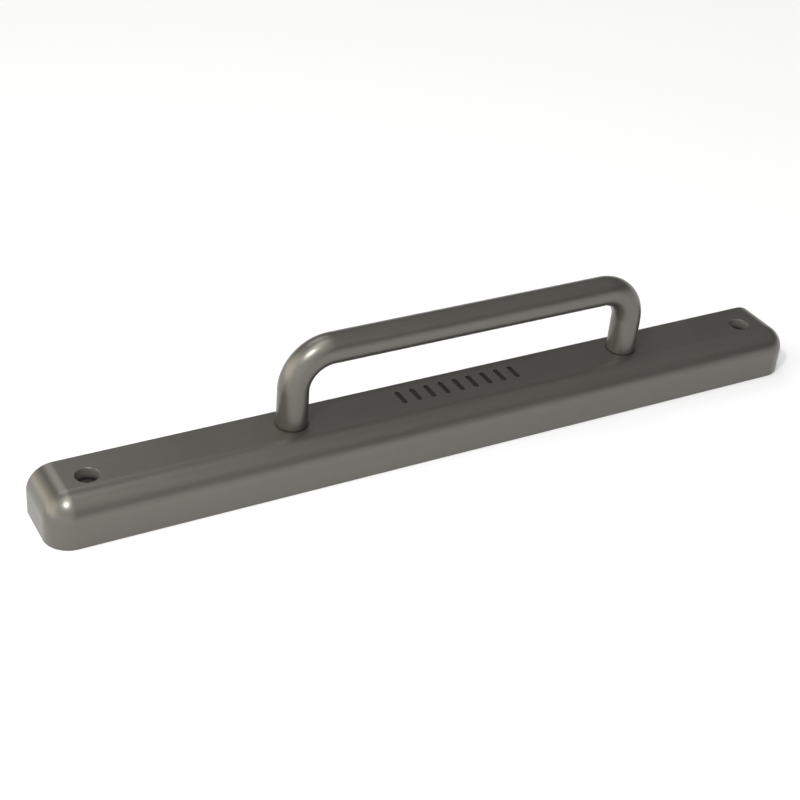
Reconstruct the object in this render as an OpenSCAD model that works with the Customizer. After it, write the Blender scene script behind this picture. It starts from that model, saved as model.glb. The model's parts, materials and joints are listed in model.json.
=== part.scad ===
// Hand rail: a round grab bar on a solid mounting bar with two counterbored screw holes.
// Lengths are in millimetres. X runs along the bar, the rounded front edge faces -Y and Z points up.
// The origin is the middle of the flat underside.

/* [Mounting bar] */
// Overall length of the bar
bar_length = 410; // [300:1:600]
// Depth of the bar, from its flat back to the front
bar_depth = 34; // [32:0.5:60]
// Height of the bar, from the flat underside to the top
bar_height = 24.5; // [20:0.5:40]
// Radius on the front top edge, the ends and the front corners
edge_radius = 12.25; // [6:0.25:14]

/* [Grab rail] */
// Diameter of the round rail
rail_diameter = 15; // [10:0.5:18]
// Distance between the centres of the two legs
rail_span = 188; // [120:1:240]
// Shift of the rail from the middle of the bar, towards +X
rail_shift = 12; // [-20:1:20]
// Height of the grip's centre line above the top of the bar
grip_rise = 37; // [30:0.5:80]
// Radius of each bend, at the rail's centre line
bend_radius = 18.5; // [10:0.5:28]
// Distance of the legs' centres from the flat back
leg_setback = 12; // [10:0.5:14]

/* [Screw holes] */
// Distance of each hole's centre from its end of the bar
screw_inset = 23; // [20:0.5:50]
// Distance of the holes' centres from the flat back
screw_setback = 15.5; // [9:0.5:20]
// Clearance hole for the screw's shank
shank_hole = 6.6; // [3.5:0.1:9]
// Diameter of the counterbore for the screw's head
head_hole = 11; // [9.5:0.1:16]
// Depth of the counterbore
head_depth = 6; // [3:0.5:12]

/* [Hidden] */
$fn = 96;

// Satin steel, dark and slightly warm
steel = [0.42, 0.41, 0.385];

// Each leg starts inside the bar, so that the two join over a whole section
leg_root = 4;
// Cutters run past the faces that they open
cut_over = 1;

bar_back = bar_depth / 2;
rail_y = bar_back - leg_setback;
screw_y = bar_back - screw_setback;
screw_x = bar_length / 2 - screw_inset;
leg_straight = grip_rise - bend_radius;
grip_length = rail_span - 2 * bend_radius;

// The rounded edge in section: one radius deep, upright below and a quarter round above
module edge_section() {
    square([edge_radius, bar_height - edge_radius]);
    translate([0, bar_height - edge_radius])
        intersection() {
            circle(r = edge_radius);
            square(edge_radius);
        }
}

// The solid that the rounded edge runs round, flat at the back
module bar_core() {
    translate([edge_radius - bar_length / 2, edge_radius - bar_depth / 2, 0])
        cube([bar_length - 2 * edge_radius, bar_depth - edge_radius, bar_height]);
}

// The rounded edge along the front
module front_edge() {
    translate([edge_radius - bar_length / 2, edge_radius - bar_depth / 2, 0])
        rotate([90, 0, 90])
            mirror([1, 0, 0])
                linear_extrude(bar_length - 2 * edge_radius)
                    edge_section();
}

// The rounded edge across the end at +X, with the ball-nosed corner where it meets the front
module end_edge() {
    translate([bar_length / 2 - edge_radius, edge_radius - bar_depth / 2, 0]) {
        translate([0, bar_depth - edge_radius, 0])
            rotate([90, 0, 0])
                linear_extrude(bar_depth - edge_radius)
                    edge_section();
        rotate([0, 0, -90])
            rotate_extrude(angle = 90)
                edge_section();
    }
}

module mounting_bar() {
    bar_core();
    front_edge();
    end_edge();
    mirror([1, 0, 0])
        end_edge();
}

// Half of the rail, from the middle of the grip down to the foot of the leg at +X
module rail_half() {
    rotate([0, 90, 0])
        cylinder(h = grip_length / 2, d = rail_diameter);
    translate([grip_length / 2, 0, -bend_radius]) {
        rotate([90, 0, 0])
            rotate_extrude(angle = 90)
                translate([bend_radius, 0])
                    circle(d = rail_diameter);
        translate([bend_radius, 0, -leg_straight - leg_root])
            cylinder(h = leg_straight + leg_root, d = rail_diameter);
    }
}

module grab_rail() {
    translate([rail_shift, rail_y, bar_height + grip_rise]) {
        rail_half();
        mirror([1, 0, 0])
            rail_half();
    }
}

// Through hole for the shank, opened out from the top for the head
module screw_hole() {
    translate([0, 0, -cut_over])
        cylinder(h = bar_height + 2 * cut_over, d = shank_hole);
    translate([0, 0, bar_height - head_depth])
        cylinder(h = head_depth + cut_over, d = head_hole);
}

module hand_rail() {
    color(steel)
        difference() {
            union() {
                mounting_bar();
                grab_rail();
            }
            for (side = [-1, 1])
                translate([side * screw_x, screw_y, 0])
                    screw_hole();
        }
}

hand_rail();
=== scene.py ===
"""Hand rail in satin steel: a round grab rail on a solid mounting bar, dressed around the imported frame.

Lengths are in metres, in the frame's axes: X along the bar, -Y towards its rounded front, Z up.
"""

import json
import math

import bmesh
import bpy
from bpy.props import FloatProperty, FloatVectorProperty, IntProperty, PointerProperty
from mathutils import Matrix, Vector


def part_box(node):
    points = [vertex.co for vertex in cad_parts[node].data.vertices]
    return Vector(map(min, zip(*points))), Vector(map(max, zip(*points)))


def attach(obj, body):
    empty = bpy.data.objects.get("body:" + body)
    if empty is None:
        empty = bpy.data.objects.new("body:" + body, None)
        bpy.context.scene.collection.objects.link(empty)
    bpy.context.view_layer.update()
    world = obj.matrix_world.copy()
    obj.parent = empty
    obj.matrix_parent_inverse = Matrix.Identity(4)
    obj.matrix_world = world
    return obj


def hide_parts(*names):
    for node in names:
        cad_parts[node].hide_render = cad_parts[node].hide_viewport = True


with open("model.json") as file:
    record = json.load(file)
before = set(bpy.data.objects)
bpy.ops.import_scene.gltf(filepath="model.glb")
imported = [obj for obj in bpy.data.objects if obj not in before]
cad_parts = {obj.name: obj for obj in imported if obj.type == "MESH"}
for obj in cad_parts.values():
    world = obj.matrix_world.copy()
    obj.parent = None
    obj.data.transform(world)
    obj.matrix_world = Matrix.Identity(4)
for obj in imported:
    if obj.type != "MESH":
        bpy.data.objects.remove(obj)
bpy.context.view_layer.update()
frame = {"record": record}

bl_info = {
    "name": "Hand rail",
    "version": (1, 0, 0),
    "blender": (4, 5, 0),
    "location": "3D View > Sidebar > Hand rail",
    "description": "Builds a satin steel hand rail and a plain stage for it",
    "category": "Object",
}

NODE = "hand_rail"
BODY = "root"
PIECE = "satin_hand_rail"
GRAIN_MAP = "grain"
MM = 0.001

# The frame's own sizes: the whole box, the row of screws and the seat of a screw's head
part_low, part_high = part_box(NODE)
mounts = {mount["name"]: mount for mount in frame["record"]["mounts"]}
screws = mounts["screws"]
head_seat = mounts["left_head_seat"]
seat_depth = head_seat["dims"]["length_mm"] * MM
bar_top = head_seat["pos_m"][2] + seat_depth / 2

# Steps of the curved surfaces
EDGE_STEPS = 32
BREAK_STEPS = 3
RING_STEPS = 96
BEND_STEPS = 48
GROOVE_STEPS = 8

SHARP_ANGLE = math.radians(40)
QUARTER_TURN = math.pi / 2
FULL_TURN = 2 * math.pi
MERGE_DISTANCE = 0.000002
# Cutters and roots run this far past the faces that they open or join
CUT_OVER = 0.001
RAIL_ROOT = 0.003
# How far from a surface a face may lie and still belong to it
NEAR = 0.00002
# Least part of a face's normal along an axis, for the face to look along that axis
FACING = 0.9
# The piece's materials, in the order of its slots
SATIN, DRILLED, ENGRAVED = range(3)

# The soft surround's levels, as (sine of the height above the horizon, level)
SKY_LEVELS = ((0.0, 0.95), (0.08, 0.80), (0.20, 0.22), (0.38, 0.08), (0.65, 0.30), (1.0, 0.22))
# Its round glows, as (azimuth, elevation, outer edge, full core, colour), in degrees: a warm one at the
# left, a broad one over the left front, one high at the back and one overhead
SKY_GLOWS = (
    (-112.0, 1.0, 53.0, 0.0, (2.45, 2.23, 1.95)),
    (-43.0, 39.0, 59.0, 38.0, (0.98, 0.98, 0.96)),
    (182.0, 49.0, 18.0, 11.0, (2.00, 2.00, 2.00)),
    (-115.0, 87.0, 21.0, 3.0, (2.50, 2.50, 2.50)),
)
# The key lamp, as (azimuth, elevation, distance, width, power, colour), in degrees, metres and watts
KEY_LAMP = (-54.0, 54.5, 0.84, 0.06, 3.3, (1.0, 0.99, 0.98))
# Share of the floor's white that it gives off itself, towards the camera and reflections alone
FLOOR_GLOW = 0.17

# The middle part of a noise's range, where nearly all its values lie, for the grain and for the clouding
GRAIN_REACH = (0.28, 0.72)
CLOUD_REACH = (0.3, 0.7)
# Hairlines and the patches they lie in, each as (streaks in a metre, lines in a metre, detail)
HAIRLINES = (38.0, 1500.0, 1.0)
HAIRLINE_PATCHES = (55.0, 60.0, 2.0)
# Grain above this level is a hairline, and patches gain strength this fast
HAIRLINE_LEVEL, PATCH_GAIN = 0.86, 3.0
# Rub starts and is full where an edge turns the surface by these cosines
RUB_STARTS, RUB_FULL = 0.995, 0.90
# Fine noise that breaks the rub up: its range, and what is left of the rub at either end
RUB_BREAKS = (0.3, 0.6, 0.35, 1.0)
# How much of the grain is fine, how much is broad, and how much coarser the broad one is along and across
FINE_SHARE, BROAD_SHARE = 0.65, 0.35
COARSER_ALONG, COARSER_ACROSS = 9, 7
# How far each effect moves the steel's colour towards rubbed steel
GRAIN_SHINE, HAIRLINE_SHINE, RUB_SHINE = 0.26, 0.22, 0.6
# How far the painted shade darkens creases towards the crease shade colour, and tight inside corners towards
# a painted near-black line
CREASE_SHADING, CORNER_SHADING = 0.4, 0.85
# How far each effect changes the roughness
CLOUD_ROUGH, GRAIN_ROUGH, CREASE_ROUGH, RUB_SMOOTH = 0.05, 0.07, 0.15, 0.06
# The relief of the grain: how deep hairlines cut into it, its strength, and its depth in metres
HAIRLINE_CUT, RELIEF_STRENGTH, RELIEF_DEPTH = 0.6, 0.15, 0.00002


def length_property(name, description, default):
    return FloatProperty(name=name, description=description, default=default, unit="LENGTH", precision=5)


def colour_property(name, description, default):
    return FloatVectorProperty(name=name, description=description, default=default, subtype="COLOR",
                               size=4, min=0.0, max=1.0)


def share_property(name, description, default):
    return FloatProperty(name=name, description=description, default=default, min=0.0, max=1.0,
                         subtype="FACTOR")


def angle_property(name, description, degrees):
    return FloatProperty(name=name, description=description, default=math.radians(degrees),
                         subtype="ANGLE")


class HandRailBar(bpy.types.PropertyGroup):
    """Sizes of the solid mounting bar."""

    length: length_property("Length", "Overall length of the bar", part_high.x - part_low.x)
    depth: length_property("Depth", "From the flat back to the front", part_high.y - part_low.y)
    height: length_property("Height", "From the flat underside to the top", bar_top)
    edge_radius: length_property("Edge radius", "Rounding of the front, the ends and the corners", 0.01225)
    edge_break: length_property("Edge break", "Rounding of the sharp edges at the back and below", 0.0004)


class HandRailGrip(bpy.types.PropertyGroup):
    """Sizes of the bent round rail."""

    diameter: length_property("Diameter", "Diameter of the round rail", 0.015)
    top: length_property("Top", "Height of the top of the grip", part_high.z)
    span: length_property("Span", "Distance between the centres of the legs", 0.188)
    shift: length_property("Shift", "Shift of the rail from the middle of the bar", 0.012)
    setback: length_property("Setback", "Distance of the legs' centres from the flat back", 0.012)
    bend_radius: length_property("Bend radius", "Radius of each bend at the rail's centre line", 0.0185)


class HandRailHoles(bpy.types.PropertyGroup):
    """Sizes of the two screw holes."""

    spacing: length_property("Spacing", "Distance between the holes", screws["dims"]["spacing_x_mm"] * MM)
    place: length_property("Place", "Where the row of holes lies in Y", screws["pos_m"][1])
    shank: length_property("Shank radius", "Radius of the through hole", screws["dims"]["hole_r_mm"] * MM)
    head: length_property("Head radius", "Radius of the head's seat", head_seat["dims"]["r_mm"] * MM)
    head_depth: length_property("Head depth", "Depth of the head's seat", seat_depth)
    mouth: length_property("Mouth chamfer", "Chamfer round each mouth", 0.0001)


class HandRailMarks(bpy.types.PropertyGroup):
    """A row of plain engraved grooves on the top of the bar."""

    count: IntProperty(name="Count", description="Number of grooves", default=9, min=1)
    pitch: length_property("Pitch", "Distance from one groove to the next", 0.008)
    width: length_property("Width", "Width of a groove", 0.0026)
    length: length_property("Length", "Length of a groove", 0.0107)
    depth: length_property("Depth", "Depth of a groove", 0.001)
    place_x: length_property("Place in X", "Middle of the row in X", 0.0085)
    place_y: length_property("Place in Y", "Middle of the row in Y", 0.00535)
    floor_radius: length_property("Floor radius", "Rounding along the floor of a groove", 0.0003)


class HandRailFinish(bpy.types.PropertyGroup):
    """Colours and textures of the satin steel, and the colours of its painted shade."""

    steel: colour_property("Steel", "Colour of the satin steel", (0.147, 0.141, 0.125, 1.0))
    rub_gain: FloatProperty(name="Rub gain", description="How much brighter rubbed steel is", default=1.57)
    # Painted shade: the dark colour that an occlusion mask paints into creases and recesses
    crease_shade: colour_property("Crease shade", "Painted shade colour that creases and recesses fade to",
                          (0.085, 0.080, 0.072, 1.0))
    drilled: colour_property("Drilled steel", "Colour of the clean steel in the screw holes",
                             (0.230, 0.222, 0.198, 1.0))
    # Painted shade: how far the bottom of the screw holes is darkened
    hole_shade: share_property("Hole shade", "How much painted shade darkens the bottom of the screw holes", 0.8)
    engraved: colour_property("Engraved steel", "Colour of the blackened grooves",
                              (0.020, 0.019, 0.017, 1.0))
    # Painted shade: the near-black colour painted as a thin line into tight inside corners and at the bottom
    # of the screw holes
    deep_shade: colour_property("Deep shade", "Colour of the painted shade line in inside corners",
                           (0.010, 0.009, 0.008, 1.0))
    metallic: share_property("Metallic", "Share of bare metal in the satin surface", 0.8)
    cut_metallic: share_property("Cut metallic", "Share of bare metal in the cut surfaces", 0.5)
    roughness: share_property("Roughness", "Roughness of the satin surface", 0.33)
    cut_roughness: share_property("Cut roughness", "Roughness of the drilled and engraved surfaces", 0.42)
    lines: FloatProperty(name="Lines", description="Grain lines in a metre", default=2600.0)
    streaks: FloatProperty(name="Streaks", description="Grain streaks in a metre", default=75.0)


class HandRailStage(bpy.types.PropertyGroup):
    """The camera's place, the floor and the light."""

    lens: FloatProperty(name="Lens", description="Focal length in millimetres", default=70.27)
    azimuth: angle_property("Azimuth", "Where the camera stands round the rail", -31.5541)
    elevation: angle_property("Elevation", "Height of the camera above the horizon", 32.8567)
    roll: angle_property("Roll", "Turn of the camera about its own axis", 5.4432)
    distance: length_property("Distance", "From the camera to the point it looks at", 0.7456352)
    aim_x: length_property("Aim in X", "Point that the camera looks at, in X", -0.0273034)
    aim_z: length_property("Aim in Z", "Point that the camera looks at, in Z", 0.0272122)
    floor_size: length_property("Floor size", "Side of the square floor", 12.0)
    floor: colour_property("Floor", "Colour of the floor", (0.715, 0.72, 0.73, 1.0))


def linked_object(mesh, name):
    made = bpy.data.objects.new(name, mesh)
    bpy.context.scene.collection.objects.link(made)
    return made


def mesh_object(bm, name):
    """Turns a closed bmesh outwards and makes it an object at the origin."""
    bmesh.ops.remove_doubles(bm, verts=bm.verts, dist=MERGE_DISTANCE)
    bmesh.ops.recalc_face_normals(bm, faces=bm.faces)
    mesh = bpy.data.meshes.new(name)
    bm.to_mesh(mesh)
    bm.free()
    return linked_object(mesh, name)


def round_edges(bm, edges, radius, steps):
    return bmesh.ops.bevel(bm, geom=edges, offset=radius, offset_type="OFFSET", segments=steps, profile=0.5,
                           affect="EDGES", material=-1, clamp_overlap=False)


def middle(edge):
    return (edge.verts[0].co + edge.verts[1].co) / 2


def bar_blank(bar):
    """The bar before drilling: rounded along the front, over both ends and down the front corners."""
    bm = bmesh.new()
    bmesh.ops.create_cube(bm, size=1.0)
    bmesh.ops.scale(bm, vec=(bar.length, bar.depth, bar.height), verts=bm.verts)
    bmesh.ops.translate(bm, vec=(0, 0, bar.height / 2), verts=bm.verts)
    rounded = []
    for edge in bm.edges:
        spot = middle(edge)
        at_front = spot.y < -bar.depth / 2 + NEAR
        at_back = spot.y > bar.depth / 2 - NEAR
        on_top = spot.z > bar.height - NEAR and not at_back
        upright = abs(spot.z - bar.height / 2) < NEAR and at_front
        if on_top or upright:
            rounded.append(edge)
    round_edges(bm, rounded, bar.edge_radius, EDGE_STEPS)
    sharp = [edge for edge in bm.edges if edge.calc_face_angle() > SHARP_ANGLE]
    round_edges(bm, sharp, bar.edge_break, BREAK_STEPS)
    return mesh_object(bm, "bar_blank")


def drawn_ring(bm, ring, step):
    """Draws a ring of edges out straight."""
    made = bmesh.ops.extrude_edge_only(bm, edges=ring)["geom"]
    verts = [item for item in made if isinstance(item, bmesh.types.BMVert)]
    bmesh.ops.translate(bm, vec=step, verts=verts)
    return [item for item in made if isinstance(item, bmesh.types.BMEdge)]


def bent_ring(bm, ring, centre):
    """Carries a ring of edges round a quarter turn, in the plane of the rail."""
    verts = list({vert for edge in ring for vert in edge.verts})
    made = bmesh.ops.spin(bm, geom=verts + ring, cent=centre, axis=(0, 1, 0), dvec=(0, 0, 0),
                          angle=QUARTER_TURN, steps=BEND_STEPS, use_duplicate=False)["geom_last"]
    return [item for item in made if isinstance(item, bmesh.types.BMEdge)]


def rail_blank(bar, grip):
    """The bent round rail, from a root inside the bar up one leg, along the grip and down the other."""
    place_y = bar.depth / 2 - grip.setback
    left_x = grip.shift - grip.span / 2
    right_x = grip.shift + grip.span / 2
    bend_z = grip.top - grip.diameter / 2 - grip.bend_radius
    leg = bend_z - bar.height + RAIL_ROOT
    bm = bmesh.new()
    start = Matrix.Translation((left_x, place_y, bar.height - RAIL_ROOT))
    bmesh.ops.create_circle(bm, cap_ends=True, radius=grip.diameter / 2, segments=RING_STEPS, matrix=start)
    ring = drawn_ring(bm, list(bm.edges), (0, 0, leg))
    ring = bent_ring(bm, ring, (left_x + grip.bend_radius, place_y, bend_z))
    ring = drawn_ring(bm, ring, (grip.span - 2 * grip.bend_radius, 0, 0))
    ring = bent_ring(bm, ring, (right_x - grip.bend_radius, place_y, bend_z))
    ring = drawn_ring(bm, ring, (0, 0, -leg))
    bmesh.ops.contextual_create(bm, geom=ring)
    return mesh_object(bm, "rail_blank")


def groove_cutters(bm, bar, marks):
    """Round-ended cutters for the row of grooves, all in one bmesh."""
    bmesh.ops.create_cube(bm, size=1.0)
    height = marks.depth + CUT_OVER
    bmesh.ops.scale(bm, vec=(marks.width, marks.length, height), verts=bm.verts)
    first_x = marks.place_x - marks.pitch * (marks.count - 1) / 2
    centre_z = bar.height + CUT_OVER - height / 2
    bmesh.ops.translate(bm, vec=(first_x, marks.place_y, centre_z), verts=bm.verts)
    upright = [edge for edge in bm.edges if abs(middle(edge).z - centre_z) < NEAR]
    round_edges(bm, upright, marks.width / 2 - NEAR, GROOVE_STEPS)
    floor_z = bar.height - marks.depth
    floor_edges = [edge for edge in bm.edges if middle(edge).z < floor_z + NEAR]
    round_edges(bm, floor_edges, marks.floor_radius, BREAK_STEPS)
    first = bm.verts[:] + bm.edges[:] + bm.faces[:]
    for index in range(1, marks.count):
        made = bmesh.ops.duplicate(bm, geom=first)["geom"]
        verts = [item for item in made if isinstance(item, bmesh.types.BMVert)]
        bmesh.ops.translate(bm, vec=(marks.pitch * index, 0, 0), verts=verts)


def hole_cutter(bm, bar, holes, place_x):
    """A turned cutter for one screw hole, with its seat for the head and its chamfered mouths."""
    seat_z = bar.height - holes.head_depth
    run_out = holes.mouth + CUT_OVER
    profile = [
        (0, -CUT_OVER),
        (holes.shank + run_out, -CUT_OVER),
        (holes.shank, holes.mouth),
        (holes.shank, seat_z),
        (holes.head, seat_z),
        (holes.head, bar.height - holes.mouth),
        (holes.head + run_out, bar.height + CUT_OVER),
        (0, bar.height + CUT_OVER),
    ]
    verts = [bm.verts.new((place_x + out, holes.place, height)) for out, height in profile]
    edges = [bm.edges.new(pair) for pair in zip(verts, verts[1:])]
    bmesh.ops.spin(bm, geom=verts + edges, cent=(place_x, holes.place, 0), axis=(0, 0, 1),
                   dvec=(0, 0, 0), angle=FULL_TURN, steps=RING_STEPS, use_merge=True, use_duplicate=False)


def cutters(bar, holes, marks):
    bm = bmesh.new()
    groove_cutters(bm, bar, marks)
    for side in (-1, 1):
        hole_cutter(bm, bar, holes, side * holes.spacing / 2)
    return mesh_object(bm, "cutters")


def joined_and_cut(blank, rail, cutter):
    """One closed mesh: the rail joined to the bar, and the holes and grooves cut out of it."""
    for operation, other in (("UNION", rail), ("DIFFERENCE", cutter)):
        boolean = blank.modifiers.new(operation.lower(), "BOOLEAN")
        boolean.operation = operation
        boolean.solver = "EXACT"
        boolean.object = other
    depsgraph = bpy.context.evaluated_depsgraph_get()
    mesh = bpy.data.meshes.new_from_object(blank.evaluated_get(depsgraph), depsgraph=depsgraph)
    for scratch in (blank, rail, cutter):
        bpy.data.objects.remove(scratch)
    return mesh


class GrainLayout:
    """Where the grain runs: U follows the grain and V crosses it, both in metres."""

    def __init__(self, sizes):
        self.bar, self.grip = sizes.bar, sizes.grip
        self.holes, self.marks = sizes.holes, sizes.marks
        self.radius = self.grip.diameter / 2
        self.rail_y = self.bar.depth / 2 - self.grip.setback
        self.left_x = self.grip.shift - self.grip.span / 2
        self.right_x = self.grip.shift + self.grip.span / 2
        self.bend_z = self.grip.top - self.radius - self.grip.bend_radius
        self.end_line = self.bar.length / 2 - self.bar.edge_radius
        self.front_line = self.bar.edge_radius - self.bar.depth / 2
        self.edge_z = self.bar.height - self.bar.edge_radius

    def near_hole(self, spot):
        """The hole's centre in X if the spot lies inside that hole, and None elsewhere."""
        for side in (-1, 1):
            place_x = side * self.holes.spacing / 2
            out = math.hypot(spot.x - place_x, spot.y - self.holes.place)
            if out < self.holes.head + self.holes.mouth + NEAR:
                return place_x
        return None

    def in_marks(self, spot):
        reach_x = self.marks.pitch * self.marks.count / 2
        reach_y = self.marks.length / 2 + NEAR
        return abs(spot.x - self.marks.place_x) < reach_x and abs(spot.y - self.marks.place_y) < reach_y

    def surface(self, face):
        """Which of the piece's materials the face has."""
        spot = face.calc_center_median()
        between_mouths = self.holes.mouth < spot.z < self.bar.height - self.holes.mouth
        if between_mouths and self.near_hole(spot) is not None:
            return DRILLED
        if self.in_marks(spot) and self.edge_z < spot.z < self.bar.height - NEAR:
            return ENGRAVED
        return SATIN

    def drilled(self, point, spot):
        """U goes round the hole, and V runs up its walls and inwards across its seat."""
        place_x = self.near_hole(spot)
        across = Vector((point.x - place_x, point.y - self.holes.place))
        middle_turn = math.atan2(spot.y - self.holes.place, spot.x - place_x)
        turn = near_turn(math.atan2(across.y, across.x), middle_turn)
        return self.holes.head * turn, across.length - point.z

    def along_rail(self, point, spot):
        """U is the length along the rail's centre line, and V goes round its section."""
        bend = self.grip.bend_radius
        straight = self.bend_z - self.bar.height
        bend_length = bend * QUARTER_TURN
        grip_length = self.grip.span - 2 * bend
        left_end, right_end = self.left_x + bend, self.right_x - bend
        if spot.z < self.bend_z:
            outward = -1 if spot.x < self.grip.shift else 1
            leg_x = self.left_x if outward < 0 else self.right_x
            out = outward * (point.x - leg_x)
            spot_out = outward * (spot.x - leg_x)
            rise = point.z - self.bar.height
            along = rise if outward < 0 else 2 * (straight + bend_length) + grip_length - rise
        elif left_end < spot.x < right_end:
            out, spot_out = point.z - self.grip.top + self.radius, spot.z - self.grip.top + self.radius
            along = straight + bend_length + point.x - left_end
        else:
            centre_x, before = (left_end, 0) if spot.x < left_end else (right_end, bend_length + grip_length)
            across, rise = point.x - centre_x, point.z - self.bend_z
            out = math.hypot(across, rise) - bend
            spot_out = math.hypot(spot.x - centre_x, spot.z - self.bend_z) - bend
            turn = math.atan2(rise, -across) if spot.x < left_end else math.atan2(across, rise)
            along = straight + before + bend * turn
        middle_turn = math.atan2(spot.y - self.rail_y, spot_out)
        round_turn = near_turn(math.atan2(point.y - self.rail_y, out), middle_turn)
        return along, self.radius * round_turn

    def round_bar(self, point, spot):
        """U runs round the bar's outline, and V down its rounded edge; flat sides are laid out straight."""
        past_end = abs(spot.x) > self.end_line
        past_front = spot.y < self.front_line
        side = math.copysign(1, spot.x)
        if not past_end and not past_front:
            return point.x, point.y
        quarter = self.bar.edge_radius * QUARTER_TURN
        out_x, out_y = side * point.x - self.end_line, self.front_line - point.y
        if past_end and past_front:
            turn = math.atan2(side * spot.x - self.end_line, self.front_line - spot.y)
            if math.hypot(out_x, out_y) > NEAR:
                turn = math.atan2(out_x, out_y)
            out = math.hypot(out_x, out_y)
            along = side * (self.end_line + self.bar.edge_radius * turn)
        elif past_end:
            out = out_x
            along = side * (self.end_line + quarter - out_y)
        else:
            out = out_y
            along = point.x
        above = point.z - self.edge_z
        if spot.z > self.edge_z:
            down = self.bar.edge_radius * math.atan2(out, above)
        else:
            down = quarter - above
        return along, self.front_line - down

    def place(self, face, point):
        """A corner's place in the grain map."""
        spot = face.calc_center_median()
        if face.material_index == DRILLED:
            return self.drilled(point, spot)
        if face.material_index == ENGRAVED:
            return point.y, point.x - point.z
        if spot.z > self.bar.height + NEAR:
            return self.along_rail(point, spot)
        if face.normal.z < -FACING:
            return point.x, point.y
        if face.normal.y > FACING:
            return point.x, point.z
        return self.round_bar(point, spot)


def near_turn(turn, reference):
    """The same angle, less than half a turn away from the reference."""
    return turn + FULL_TURN * round((reference - turn) / FULL_TURN)


def lay_grain(mesh, sizes):
    """Welds the mesh, checks that it is closed, and writes each face's material and grain map."""
    bm = bmesh.new()
    bm.from_mesh(mesh)
    bmesh.ops.remove_doubles(bm, verts=bm.verts, dist=MERGE_DISTANCE)
    bmesh.ops.dissolve_degenerate(bm, edges=bm.edges, dist=MERGE_DISTANCE)
    bmesh.ops.recalc_face_normals(bm, faces=bm.faces)
    if not all(edge.is_manifold for edge in bm.edges):
        raise RuntimeError("the hand rail's mesh isn't closed")
    layout = GrainLayout(sizes)
    grain = bm.loops.layers.uv.new(GRAIN_MAP)
    for face in bm.faces:
        face.material_index = layout.surface(face)
        for loop in face.loops:
            loop[grain].uv = layout.place(face, loop.vert.co)
    bm.to_mesh(mesh)
    bm.free()
    mesh.shade_smooth()
    mesh.set_sharp_from_angle(angle=SHARP_ANGLE)


def feed(tree, socket, value):
    """Links a socket to another one, or sets it to a plain value."""
    if isinstance(value, bpy.types.NodeSocket):
        tree.links.new(value, socket)
    else:
        socket.default_value = value


def add_node(tree, kind, inputs=None, **settings):
    made = tree.nodes.new(kind)
    for name, value in settings.items():
        setattr(made, name, value)
    for name, value in (inputs or {}).items():
        feed(tree, made.inputs[name], value)
    return made


def calculate(tree, operation, first, second=0.0, third=0.0, clamp=False):
    """One step of arithmetic; only the operations that need a third value use it."""
    made = add_node(tree, "ShaderNodeMath", {0: first, 1: second, 2: third}, operation=operation,
                    use_clamp=clamp)
    return made.outputs[0]


def spread(tree, value, low, high, to_low=0.0, to_high=1.0):
    """Stretches a value from one range to another, and stops at its ends."""
    made = add_node(tree, "ShaderNodeMapRange", {"Value": value, "From Min": low, "From Max": high,
                                                 "To Min": to_low, "To Max": to_high})
    return made.outputs["Result"]


def mixed(tree, factor, first, second):
    made = add_node(tree, "ShaderNodeMix", data_type="RGBA")
    for index, value in ((0, factor), (6, first), (7, second)):
        feed(tree, made.inputs[index], value)
    return made.outputs[2]


def new_group(name, inputs, outputs):
    """A shader node group with named sockets; inputs are (name, socket type, default)."""
    group = bpy.data.node_groups.new(name, "ShaderNodeTree")
    for label, kind, default in inputs:
        socket = group.interface.new_socket(label, in_out="INPUT", socket_type=kind)
        if default is not None:
            socket.default_value = default
    for label, kind in outputs:
        group.interface.new_socket(label, in_out="OUTPUT", socket_type=kind)
    return group, group.nodes.new("NodeGroupInput").outputs, group.nodes.new("NodeGroupOutput").inputs


def brushed_grain_group():
    """Fine parallel lines, longer along U than across V."""
    group, given, out = new_group(
        "brushed grain",
        [("Vector", "NodeSocketVector", None), ("Streaks", "NodeSocketFloat", 75.0),
         ("Lines", "NodeSocketFloat", 2600.0), ("Detail", "NodeSocketFloat", 4.0)],
        [("Grain", "NodeSocketFloat")])
    scale = add_node(group, "ShaderNodeCombineXYZ", {"X": given["Streaks"], "Y": given["Lines"], "Z": 1.0})
    laid = add_node(group, "ShaderNodeVectorMath", {0: given["Vector"], 1: scale.outputs[0]},
                    operation="MULTIPLY")
    noise = add_node(group, "ShaderNodeTexNoise", {"Vector": laid.outputs[0], "Scale": 1.0,
                                                   "Detail": given["Detail"], "Roughness": 0.62})
    feed(group, out["Grain"], spread(group, noise.outputs["Fac"], *GRAIN_REACH))
    return group


def hairline_group(grain_group):
    """Sparse hairline scratches that follow the grain and fade in and out."""
    group, given, out = new_group(
        "hairline scratches",
        [("Vector", "NodeSocketVector", None), ("Amount", "NodeSocketFloat", 0.3)],
        [("Mask", "NodeSocketFloat")])
    lines = add_node(group, "ShaderNodeGroup", node_tree=grain_group)
    patches = add_node(group, "ShaderNodeGroup", node_tree=grain_group)
    for user, (streaks, count, detail) in ((lines, HAIRLINES), (patches, HAIRLINE_PATCHES)):
        feed(group, user.inputs["Vector"], given["Vector"])
        feed(group, user.inputs["Streaks"], streaks)
        feed(group, user.inputs["Lines"], count)
        feed(group, user.inputs["Detail"], detail)
    limit = calculate(group, "SUBTRACT", 1.0, given["Amount"])
    hair = calculate(group, "GREATER_THAN", lines.outputs["Grain"], HAIRLINE_LEVEL)
    patch = calculate(group, "SUBTRACT", patches.outputs["Grain"], limit, clamp=True)
    strength = calculate(group, "MULTIPLY", patch, PATCH_GAIN)
    feed(group, out["Mask"], calculate(group, "MULTIPLY", hair, strength, clamp=True))
    return group


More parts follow.
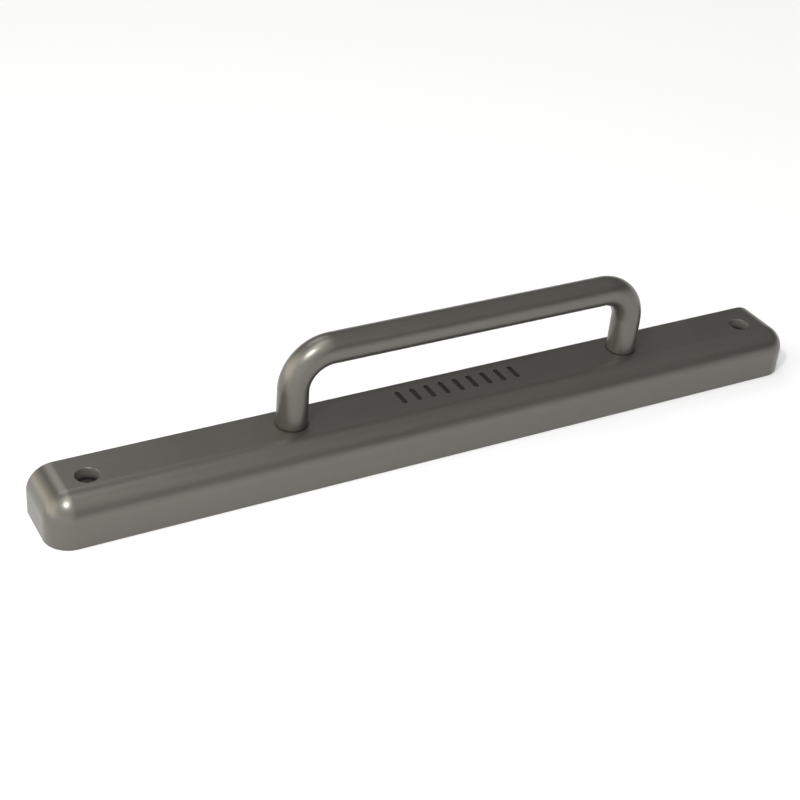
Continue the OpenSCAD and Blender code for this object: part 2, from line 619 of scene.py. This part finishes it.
def clouding_group():
    """Broad soft patches, such as handling and cleaning leave."""
    group, given, out = new_group(
        "clouding",
        [("Vector", "NodeSocketVector", None), ("Scale", "NodeSocketFloat", 20.0)],
        [("Cloud", "NodeSocketFloat")])
    noise = add_node(group, "ShaderNodeTexNoise", {"Vector": given["Vector"], "Scale": given["Scale"],
                                                   "Detail": 3.0, "Roughness": 0.5})
    feed(group, out["Cloud"], spread(group, noise.outputs["Fac"], *CLOUD_REACH))
    return group


def edge_rub_group():
    """A mask along outside edges, broken up by fine noise."""
    group, given, out = new_group(
        "edge rub",
        [("Vector", "NodeSocketVector", None), ("Reach", "NodeSocketFloat", 0.0008)],
        [("Mask", "NodeSocketFloat")])
    rounded = add_node(group, "ShaderNodeBevel", {"Radius": given["Reach"]}, samples=6)
    surface = add_node(group, "ShaderNodeNewGeometry")
    likeness = add_node(group, "ShaderNodeVectorMath",
                        {0: rounded.outputs["Normal"], 1: surface.outputs["Normal"]}, operation="DOT_PRODUCT")
    bend = spread(group, likeness.outputs["Value"], RUB_STARTS, RUB_FULL)
    noise = add_node(group, "ShaderNodeTexNoise", {"Vector": given["Vector"], "Scale": 260.0, "Detail": 3.0})
    broken = spread(group, noise.outputs["Fac"], *RUB_BREAKS)
    feed(group, out["Mask"], calculate(group, "MULTIPLY", bend, broken))
    return group


def crease_group():
    """An ambient occlusion mask in creases and recesses, used to paint shade there."""
    group, given, out = new_group(
        "crease",
        [("Reach", "NodeSocketFloat", 0.003), ("Open", "NodeSocketFloat", 0.85),
         ("Closed", "NodeSocketFloat", 0.35)],
        [("Mask", "NodeSocketFloat")])
    open_sky = add_node(group, "ShaderNodeAmbientOcclusion", {"Distance": given["Reach"]},
                        samples=6, only_local=True)
    feed(group, out["Mask"], spread(group, open_sky.outputs["AO"], given["Open"], given["Closed"]))
    return group


def hole_shade_mask(tree, placed, full_z, unshaded_z):
    """A mask for painted shade that is full up to one height and fades out on the way up to the other."""
    height = add_node(tree, "ShaderNodeSeparateXYZ", {"Vector": placed}).outputs["Z"]
    fade = add_node(tree, "ShaderNodeMapRange", {"Value": height, "From Min": unshaded_z, "From Max": full_z},
                    interpolation_type="SMOOTHSTEP")
    return fade.outputs["Result"]


def steel_material(name, groups, finish, steel, metallic, roughness, shade_heights=None):
    """Steel whose grain follows the piece's own map, with painted shade in its creases and inside corners,
    and painted shade at the bottom of the holes between two heights if given.
    """
    material = bpy.data.materials.new(name)
    material.use_nodes = True
    tree = material.node_tree
    tree.nodes.clear()
    laid = add_node(tree, "ShaderNodeUVMap", uv_map=GRAIN_MAP).outputs["UV"]
    placed = add_node(tree, "ShaderNodeTexCoord").outputs["Object"]

    def effect(group, output, **inputs):
        used = add_node(tree, "ShaderNodeGroup", node_tree=groups[group])
        for label, value in inputs.items():
            feed(tree, used.inputs[label.replace("_", " ")], value)
        return used.outputs[output]

    fine = effect("grain", "Grain", Vector=laid, Streaks=finish.streaks, Lines=finish.lines)
    broad = effect("grain", "Grain", Vector=laid, Streaks=finish.streaks / COARSER_ALONG,
                   Lines=finish.lines / COARSER_ACROSS, Detail=2.0)
    hairlines = effect("hairline", "Mask", Vector=laid, Amount=0.5)
    cloud = effect("cloud", "Cloud", Vector=placed, Scale=24.0)
    rub = effect("rub", "Mask", Vector=placed)
    # Occlusion masks for painted shade: a broad one in creases and recesses, and a tight one for a dark line
    # in inside corners
    crease = effect("crease", "Mask", Reach=0.003, Open=0.85, Closed=0.35)
    corner = effect("crease", "Mask", Reach=0.0011, Open=0.88, Closed=0.52)

    grain = calculate(tree, "ADD", calculate(tree, "MULTIPLY", fine, FINE_SHARE),
                      calculate(tree, "MULTIPLY", broad, BROAD_SHARE))
    shine = calculate(tree, "MULTIPLY_ADD", grain, GRAIN_SHINE, -GRAIN_SHINE / 2)
    shine = calculate(tree, "ADD", shine, calculate(tree, "MULTIPLY", hairlines, HAIRLINE_SHINE))
    shine = calculate(tree, "ADD", shine, calculate(tree, "MULTIPLY", rub, RUB_SHINE), clamp=True)
    rubbed = tuple(min(1.0, share * finish.rub_gain) for share in steel)
    colour = mixed(tree, shine, tuple(steel), rubbed)
    # Painted shade: creases and recesses darken towards the crease shade colour
    colour = mixed(tree, calculate(tree, "MULTIPLY", crease, CREASE_SHADING), colour, tuple(finish.crease_shade))
    # Painted shade: tight inside corners, such as the legs' feet, darken to a near-black line
    colour = mixed(tree, calculate(tree, "MULTIPLY", corner, CORNER_SHADING), colour, tuple(finish.deep_shade))
    # Painted shade, darker towards the bottom of the screw holes
    if shade_heights is not None:
        hole_shade = calculate(tree, "MULTIPLY", hole_shade_mask(tree, placed, *shade_heights), finish.hole_shade)
        colour = mixed(tree, hole_shade, colour, tuple(finish.deep_shade))

    rough = calculate(tree, "MULTIPLY_ADD", cloud, CLOUD_ROUGH, roughness - CLOUD_ROUGH / 2)
    uneven = calculate(tree, "MULTIPLY", calculate(tree, "SUBTRACT", grain, 0.5), GRAIN_ROUGH)
    rough = calculate(tree, "ADD", rough, uneven)
    rough = calculate(tree, "ADD", rough, calculate(tree, "MULTIPLY", crease, CREASE_ROUGH))
    rough = calculate(tree, "SUBTRACT", rough, calculate(tree, "MULTIPLY", rub, RUB_SMOOTH), clamp=True)

    relief = calculate(tree, "SUBTRACT", grain, calculate(tree, "MULTIPLY", hairlines, HAIRLINE_CUT))
    bump = add_node(tree, "ShaderNodeBump", {"Height": relief, "Strength": RELIEF_STRENGTH,
                                             "Distance": RELIEF_DEPTH})
    shader = add_node(tree, "ShaderNodeBsdfPrincipled", {
        "Base Color": colour, "Metallic": metallic, "Roughness": rough,
        "Normal": bump.outputs["Normal"]})
    output = add_node(tree, "ShaderNodeOutputMaterial")
    tree.links.new(shader.outputs["BSDF"], output.inputs["Surface"])
    return material


def finish_groups():
    grain = brushed_grain_group()
    return {"grain": grain, "hairline": hairline_group(grain), "cloud": clouding_group(),
            "rub": edge_rub_group(), "crease": crease_group()}


class OBJECT_OT_make_hand_rail(bpy.types.Operator):
    """Make the hand rail's one piece: the bar, the rail, the screw holes and the engraved row"""

    bl_idname = "object.make_hand_rail"
    bl_label = "Make hand rail"
    bl_options = {"REGISTER", "UNDO"}

    def execute(self, context):
        sizes = context.scene.hand_rail
        blank = bar_blank(sizes.bar)
        rail = rail_blank(sizes.bar, sizes.grip)
        mesh = joined_and_cut(blank, rail, cutters(sizes.bar, sizes.holes, sizes.marks))
        mesh.name = PIECE
        groups = finish_groups()
        finish = sizes.finish
        seat_z = sizes.bar.height - sizes.holes.head_depth
        # Heights between which painted shade darkens the screw holes: full at the seat, gone halfway up it
        shade_heights = (seat_z, seat_z + sizes.holes.head_depth / 2)
        cut = (finish.cut_metallic, finish.cut_roughness)
        surfaces = (
            ("satin steel", finish.steel, finish.metallic, finish.roughness),
            ("drilled steel", finish.drilled, *cut, shade_heights),
            ("engraved steel", finish.engraved, *cut),
        )
        for name, *looks in surfaces:
            mesh.materials.append(steel_material(name, groups, finish, *looks))
        lay_grain(mesh, sizes)
        piece = linked_object(mesh, PIECE)
        weighted = piece.modifiers.new("weighted normals", "WEIGHTED_NORMAL")
        weighted.mode = "FACE_AREA"
        weighted.keep_sharp = True
        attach(piece, BODY)
        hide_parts(NODE)
        return {"FINISHED"}


def towards(azimuth, elevation):
    """Unit vector to a place at that azimuth, counted from -Y towards +X, and that elevation."""
    level = math.cos(elevation)
    return Vector((math.sin(azimuth) * level, -math.cos(azimuth) * level, math.sin(elevation)))


def pale_floor_material(stage):
    """A pale floor that takes the object's shadow and reads as white to the camera and in reflections."""
    material = bpy.data.materials.new("pale floor")
    material.use_nodes = True
    tree = material.node_tree
    tree.nodes.clear()
    matte = add_node(tree, "ShaderNodeBsdfDiffuse", {"Color": tuple(stage.floor)})
    path = add_node(tree, "ShaderNodeLightPath").outputs
    seen = calculate(tree, "MAXIMUM", path["Is Camera Ray"], path["Is Glossy Ray"])
    seen = calculate(tree, "MAXIMUM", seen, path["Is Transmission Ray"])
    glow = add_node(tree, "ShaderNodeEmission", {"Strength": calculate(tree, "MULTIPLY", seen, FLOOR_GLOW)})
    both = add_node(tree, "ShaderNodeAddShader")
    tree.links.new(matte.outputs["BSDF"], both.inputs[0])
    tree.links.new(glow.outputs["Emission"], both.inputs[1])
    output = add_node(tree, "ShaderNodeOutputMaterial")
    tree.links.new(both.outputs["Shader"], output.inputs["Surface"])
    return material


def soft_sky():
    """A studio's soft surround: pale at the horizon, dimmer above, with round soft glows."""
    world = bpy.data.worlds.new("soft studio")
    bpy.context.scene.world = world
    world.use_nodes = True
    tree = world.node_tree
    tree.nodes.clear()
    look = add_node(tree, "ShaderNodeTexCoord").outputs["Generated"]
    height = add_node(tree, "ShaderNodeSeparateXYZ", {"Vector": look}).outputs["Z"]
    ramp = add_node(tree, "ShaderNodeValToRGB", {"Fac": height})
    for index, (place, level) in enumerate(SKY_LEVELS):
        stop = ramp.color_ramp.elements[index] if index < 2 else ramp.color_ramp.elements.new(place)
        stop.position = place
        stop.color = (level, level, level, 1.0)
    light = ramp.outputs["Color"]
    for azimuth, elevation, edge, core, colour in SKY_GLOWS:
        aim = towards(math.radians(azimuth), math.radians(elevation))
        facing = add_node(tree, "ShaderNodeVectorMath", {0: look, 1: aim}, operation="DOT_PRODUCT")
        fade = add_node(tree, "ShaderNodeMapRange", {
            "Value": facing.outputs["Value"], "From Min": math.cos(math.radians(edge)),
            "From Max": math.cos(math.radians(core))}, interpolation_type="SMOOTHSTEP")
        glow = add_node(tree, "ShaderNodeVectorMath", {0: colour, 3: fade.outputs["Result"]},
                        operation="SCALE")
        total = add_node(tree, "ShaderNodeVectorMath", {0: light, 1: glow.outputs["Vector"]}, operation="ADD")
        light = total.outputs["Vector"]
    background = add_node(tree, "ShaderNodeBackground", {"Color": light, "Strength": 1.0})
    output = add_node(tree, "ShaderNodeOutputWorld")
    tree.links.new(background.outputs["Background"], output.inputs["Surface"])


def add_lamp(name, azimuth, elevation, distance, size, power, colour):
    """A round soft lamp that faces the middle of the rail."""
    lamp = bpy.data.lights.new(name, "AREA")
    lamp.shape = "DISK"
    lamp.size = size
    lamp.energy = power
    lamp.color = colour
    back = towards(math.radians(azimuth), math.radians(elevation))
    made = linked_object(lamp, name)
    made.rotation_mode = "QUATERNION"
    made.location = back * distance
    made.rotation_quaternion = (-back).to_track_quat("-Z", "Y")


def add_camera(stage):
    back = towards(stage.azimuth, stage.elevation)
    level_right = Vector((0, 0, 1)).cross(back).normalized()
    level_up = back.cross(level_right)
    right = level_right * math.cos(stage.roll) + level_up * math.sin(stage.roll)
    up = level_up * math.cos(stage.roll) - level_right * math.sin(stage.roll)
    eye = Vector((stage.aim_x, 0, stage.aim_z)) + back * stage.distance
    data = bpy.data.cameras.new("camera")
    data.lens = stage.lens
    data.clip_start, data.clip_end = 0.01, 100.0
    camera = linked_object(data, "camera")
    turn = Matrix((right, up, back)).transposed().to_4x4()
    camera.matrix_world = Matrix.Translation(eye) @ turn
    bpy.context.scene.camera = camera


class SCENE_OT_make_hand_rail_stage(bpy.types.Operator):
    """Make the pale floor, the soft studio light and the camera"""

    bl_idname = "scene.make_hand_rail_stage"
    bl_label = "Make stage"
    bl_options = {"REGISTER", "UNDO"}

    def execute(self, context):
        stage = context.scene.hand_rail.stage
        bm = bmesh.new()
        bmesh.ops.create_grid(bm, x_segments=1, y_segments=1, size=stage.floor_size / 2)
        bmesh.ops.translate(bm, vec=(0, 0, -NEAR), verts=bm.verts)
        mesh = bpy.data.meshes.new("floor")
        bm.to_mesh(mesh)
        bm.free()
        mesh.materials.append(pale_floor_material(stage))
        linked_object(mesh, "floor")
        soft_sky()
        add_lamp("key_lamp", *KEY_LAMP)
        add_camera(stage)
        context.scene.view_settings.view_transform = "Standard"
        return {"FINISHED"}


class HandRailSettings(bpy.types.PropertyGroup):
    """Everything that a user may change."""

    bar: PointerProperty(type=HandRailBar, name="Bar", description="Sizes of the mounting bar")
    grip: PointerProperty(type=HandRailGrip, name="Grip", description="Sizes of the round rail")
    holes: PointerProperty(type=HandRailHoles, name="Holes", description="Sizes of the screw holes")
    marks: PointerProperty(type=HandRailMarks, name="Marks", description="Sizes of the engraved row")
    finish: PointerProperty(type=HandRailFinish, name="Finish", description="Colours and textures")
    stage: PointerProperty(type=HandRailStage, name="Stage", description="Camera and floor")


class VIEW3D_PT_hand_rail(bpy.types.Panel):
    """Sizes, finish and stage of the hand rail"""

    bl_label = "Hand rail"
    bl_space_type = "VIEW_3D"
    bl_region_type = "UI"
    bl_category = "Hand rail"

    def draw(self, context):
        settings = context.scene.hand_rail
        for part in ("bar", "grip", "holes", "marks", "finish", "stage"):
            group = getattr(settings, part)
            box = self.layout.box()
            box.label(text=part.capitalize())
            for prop in group.bl_rna.properties:
                if prop.identifier not in ("rna_type", "name"):
                    box.prop(group, prop.identifier)
        self.layout.operator(OBJECT_OT_make_hand_rail.bl_idname)
        self.layout.operator(SCENE_OT_make_hand_rail_stage.bl_idname)


CLASSES = (
    HandRailBar,
    HandRailGrip,
    HandRailHoles,
    HandRailMarks,
    HandRailFinish,
    HandRailStage,
    HandRailSettings,
    OBJECT_OT_make_hand_rail,
    SCENE_OT_make_hand_rail_stage,
    VIEW3D_PT_hand_rail,
)


def register():
    for entry in CLASSES:
        bpy.utils.register_class(entry)
    bpy.types.Scene.hand_rail = PointerProperty(type=HandRailSettings)


def unregister():
    del bpy.types.Scene.hand_rail
    for entry in reversed(CLASSES):
        bpy.utils.unregister_class(entry)


def main():
    register()
    bpy.ops.object.make_hand_rail()
    bpy.ops.scene.make_hand_rail_stage()


if __name__ == "__main__":
    main()
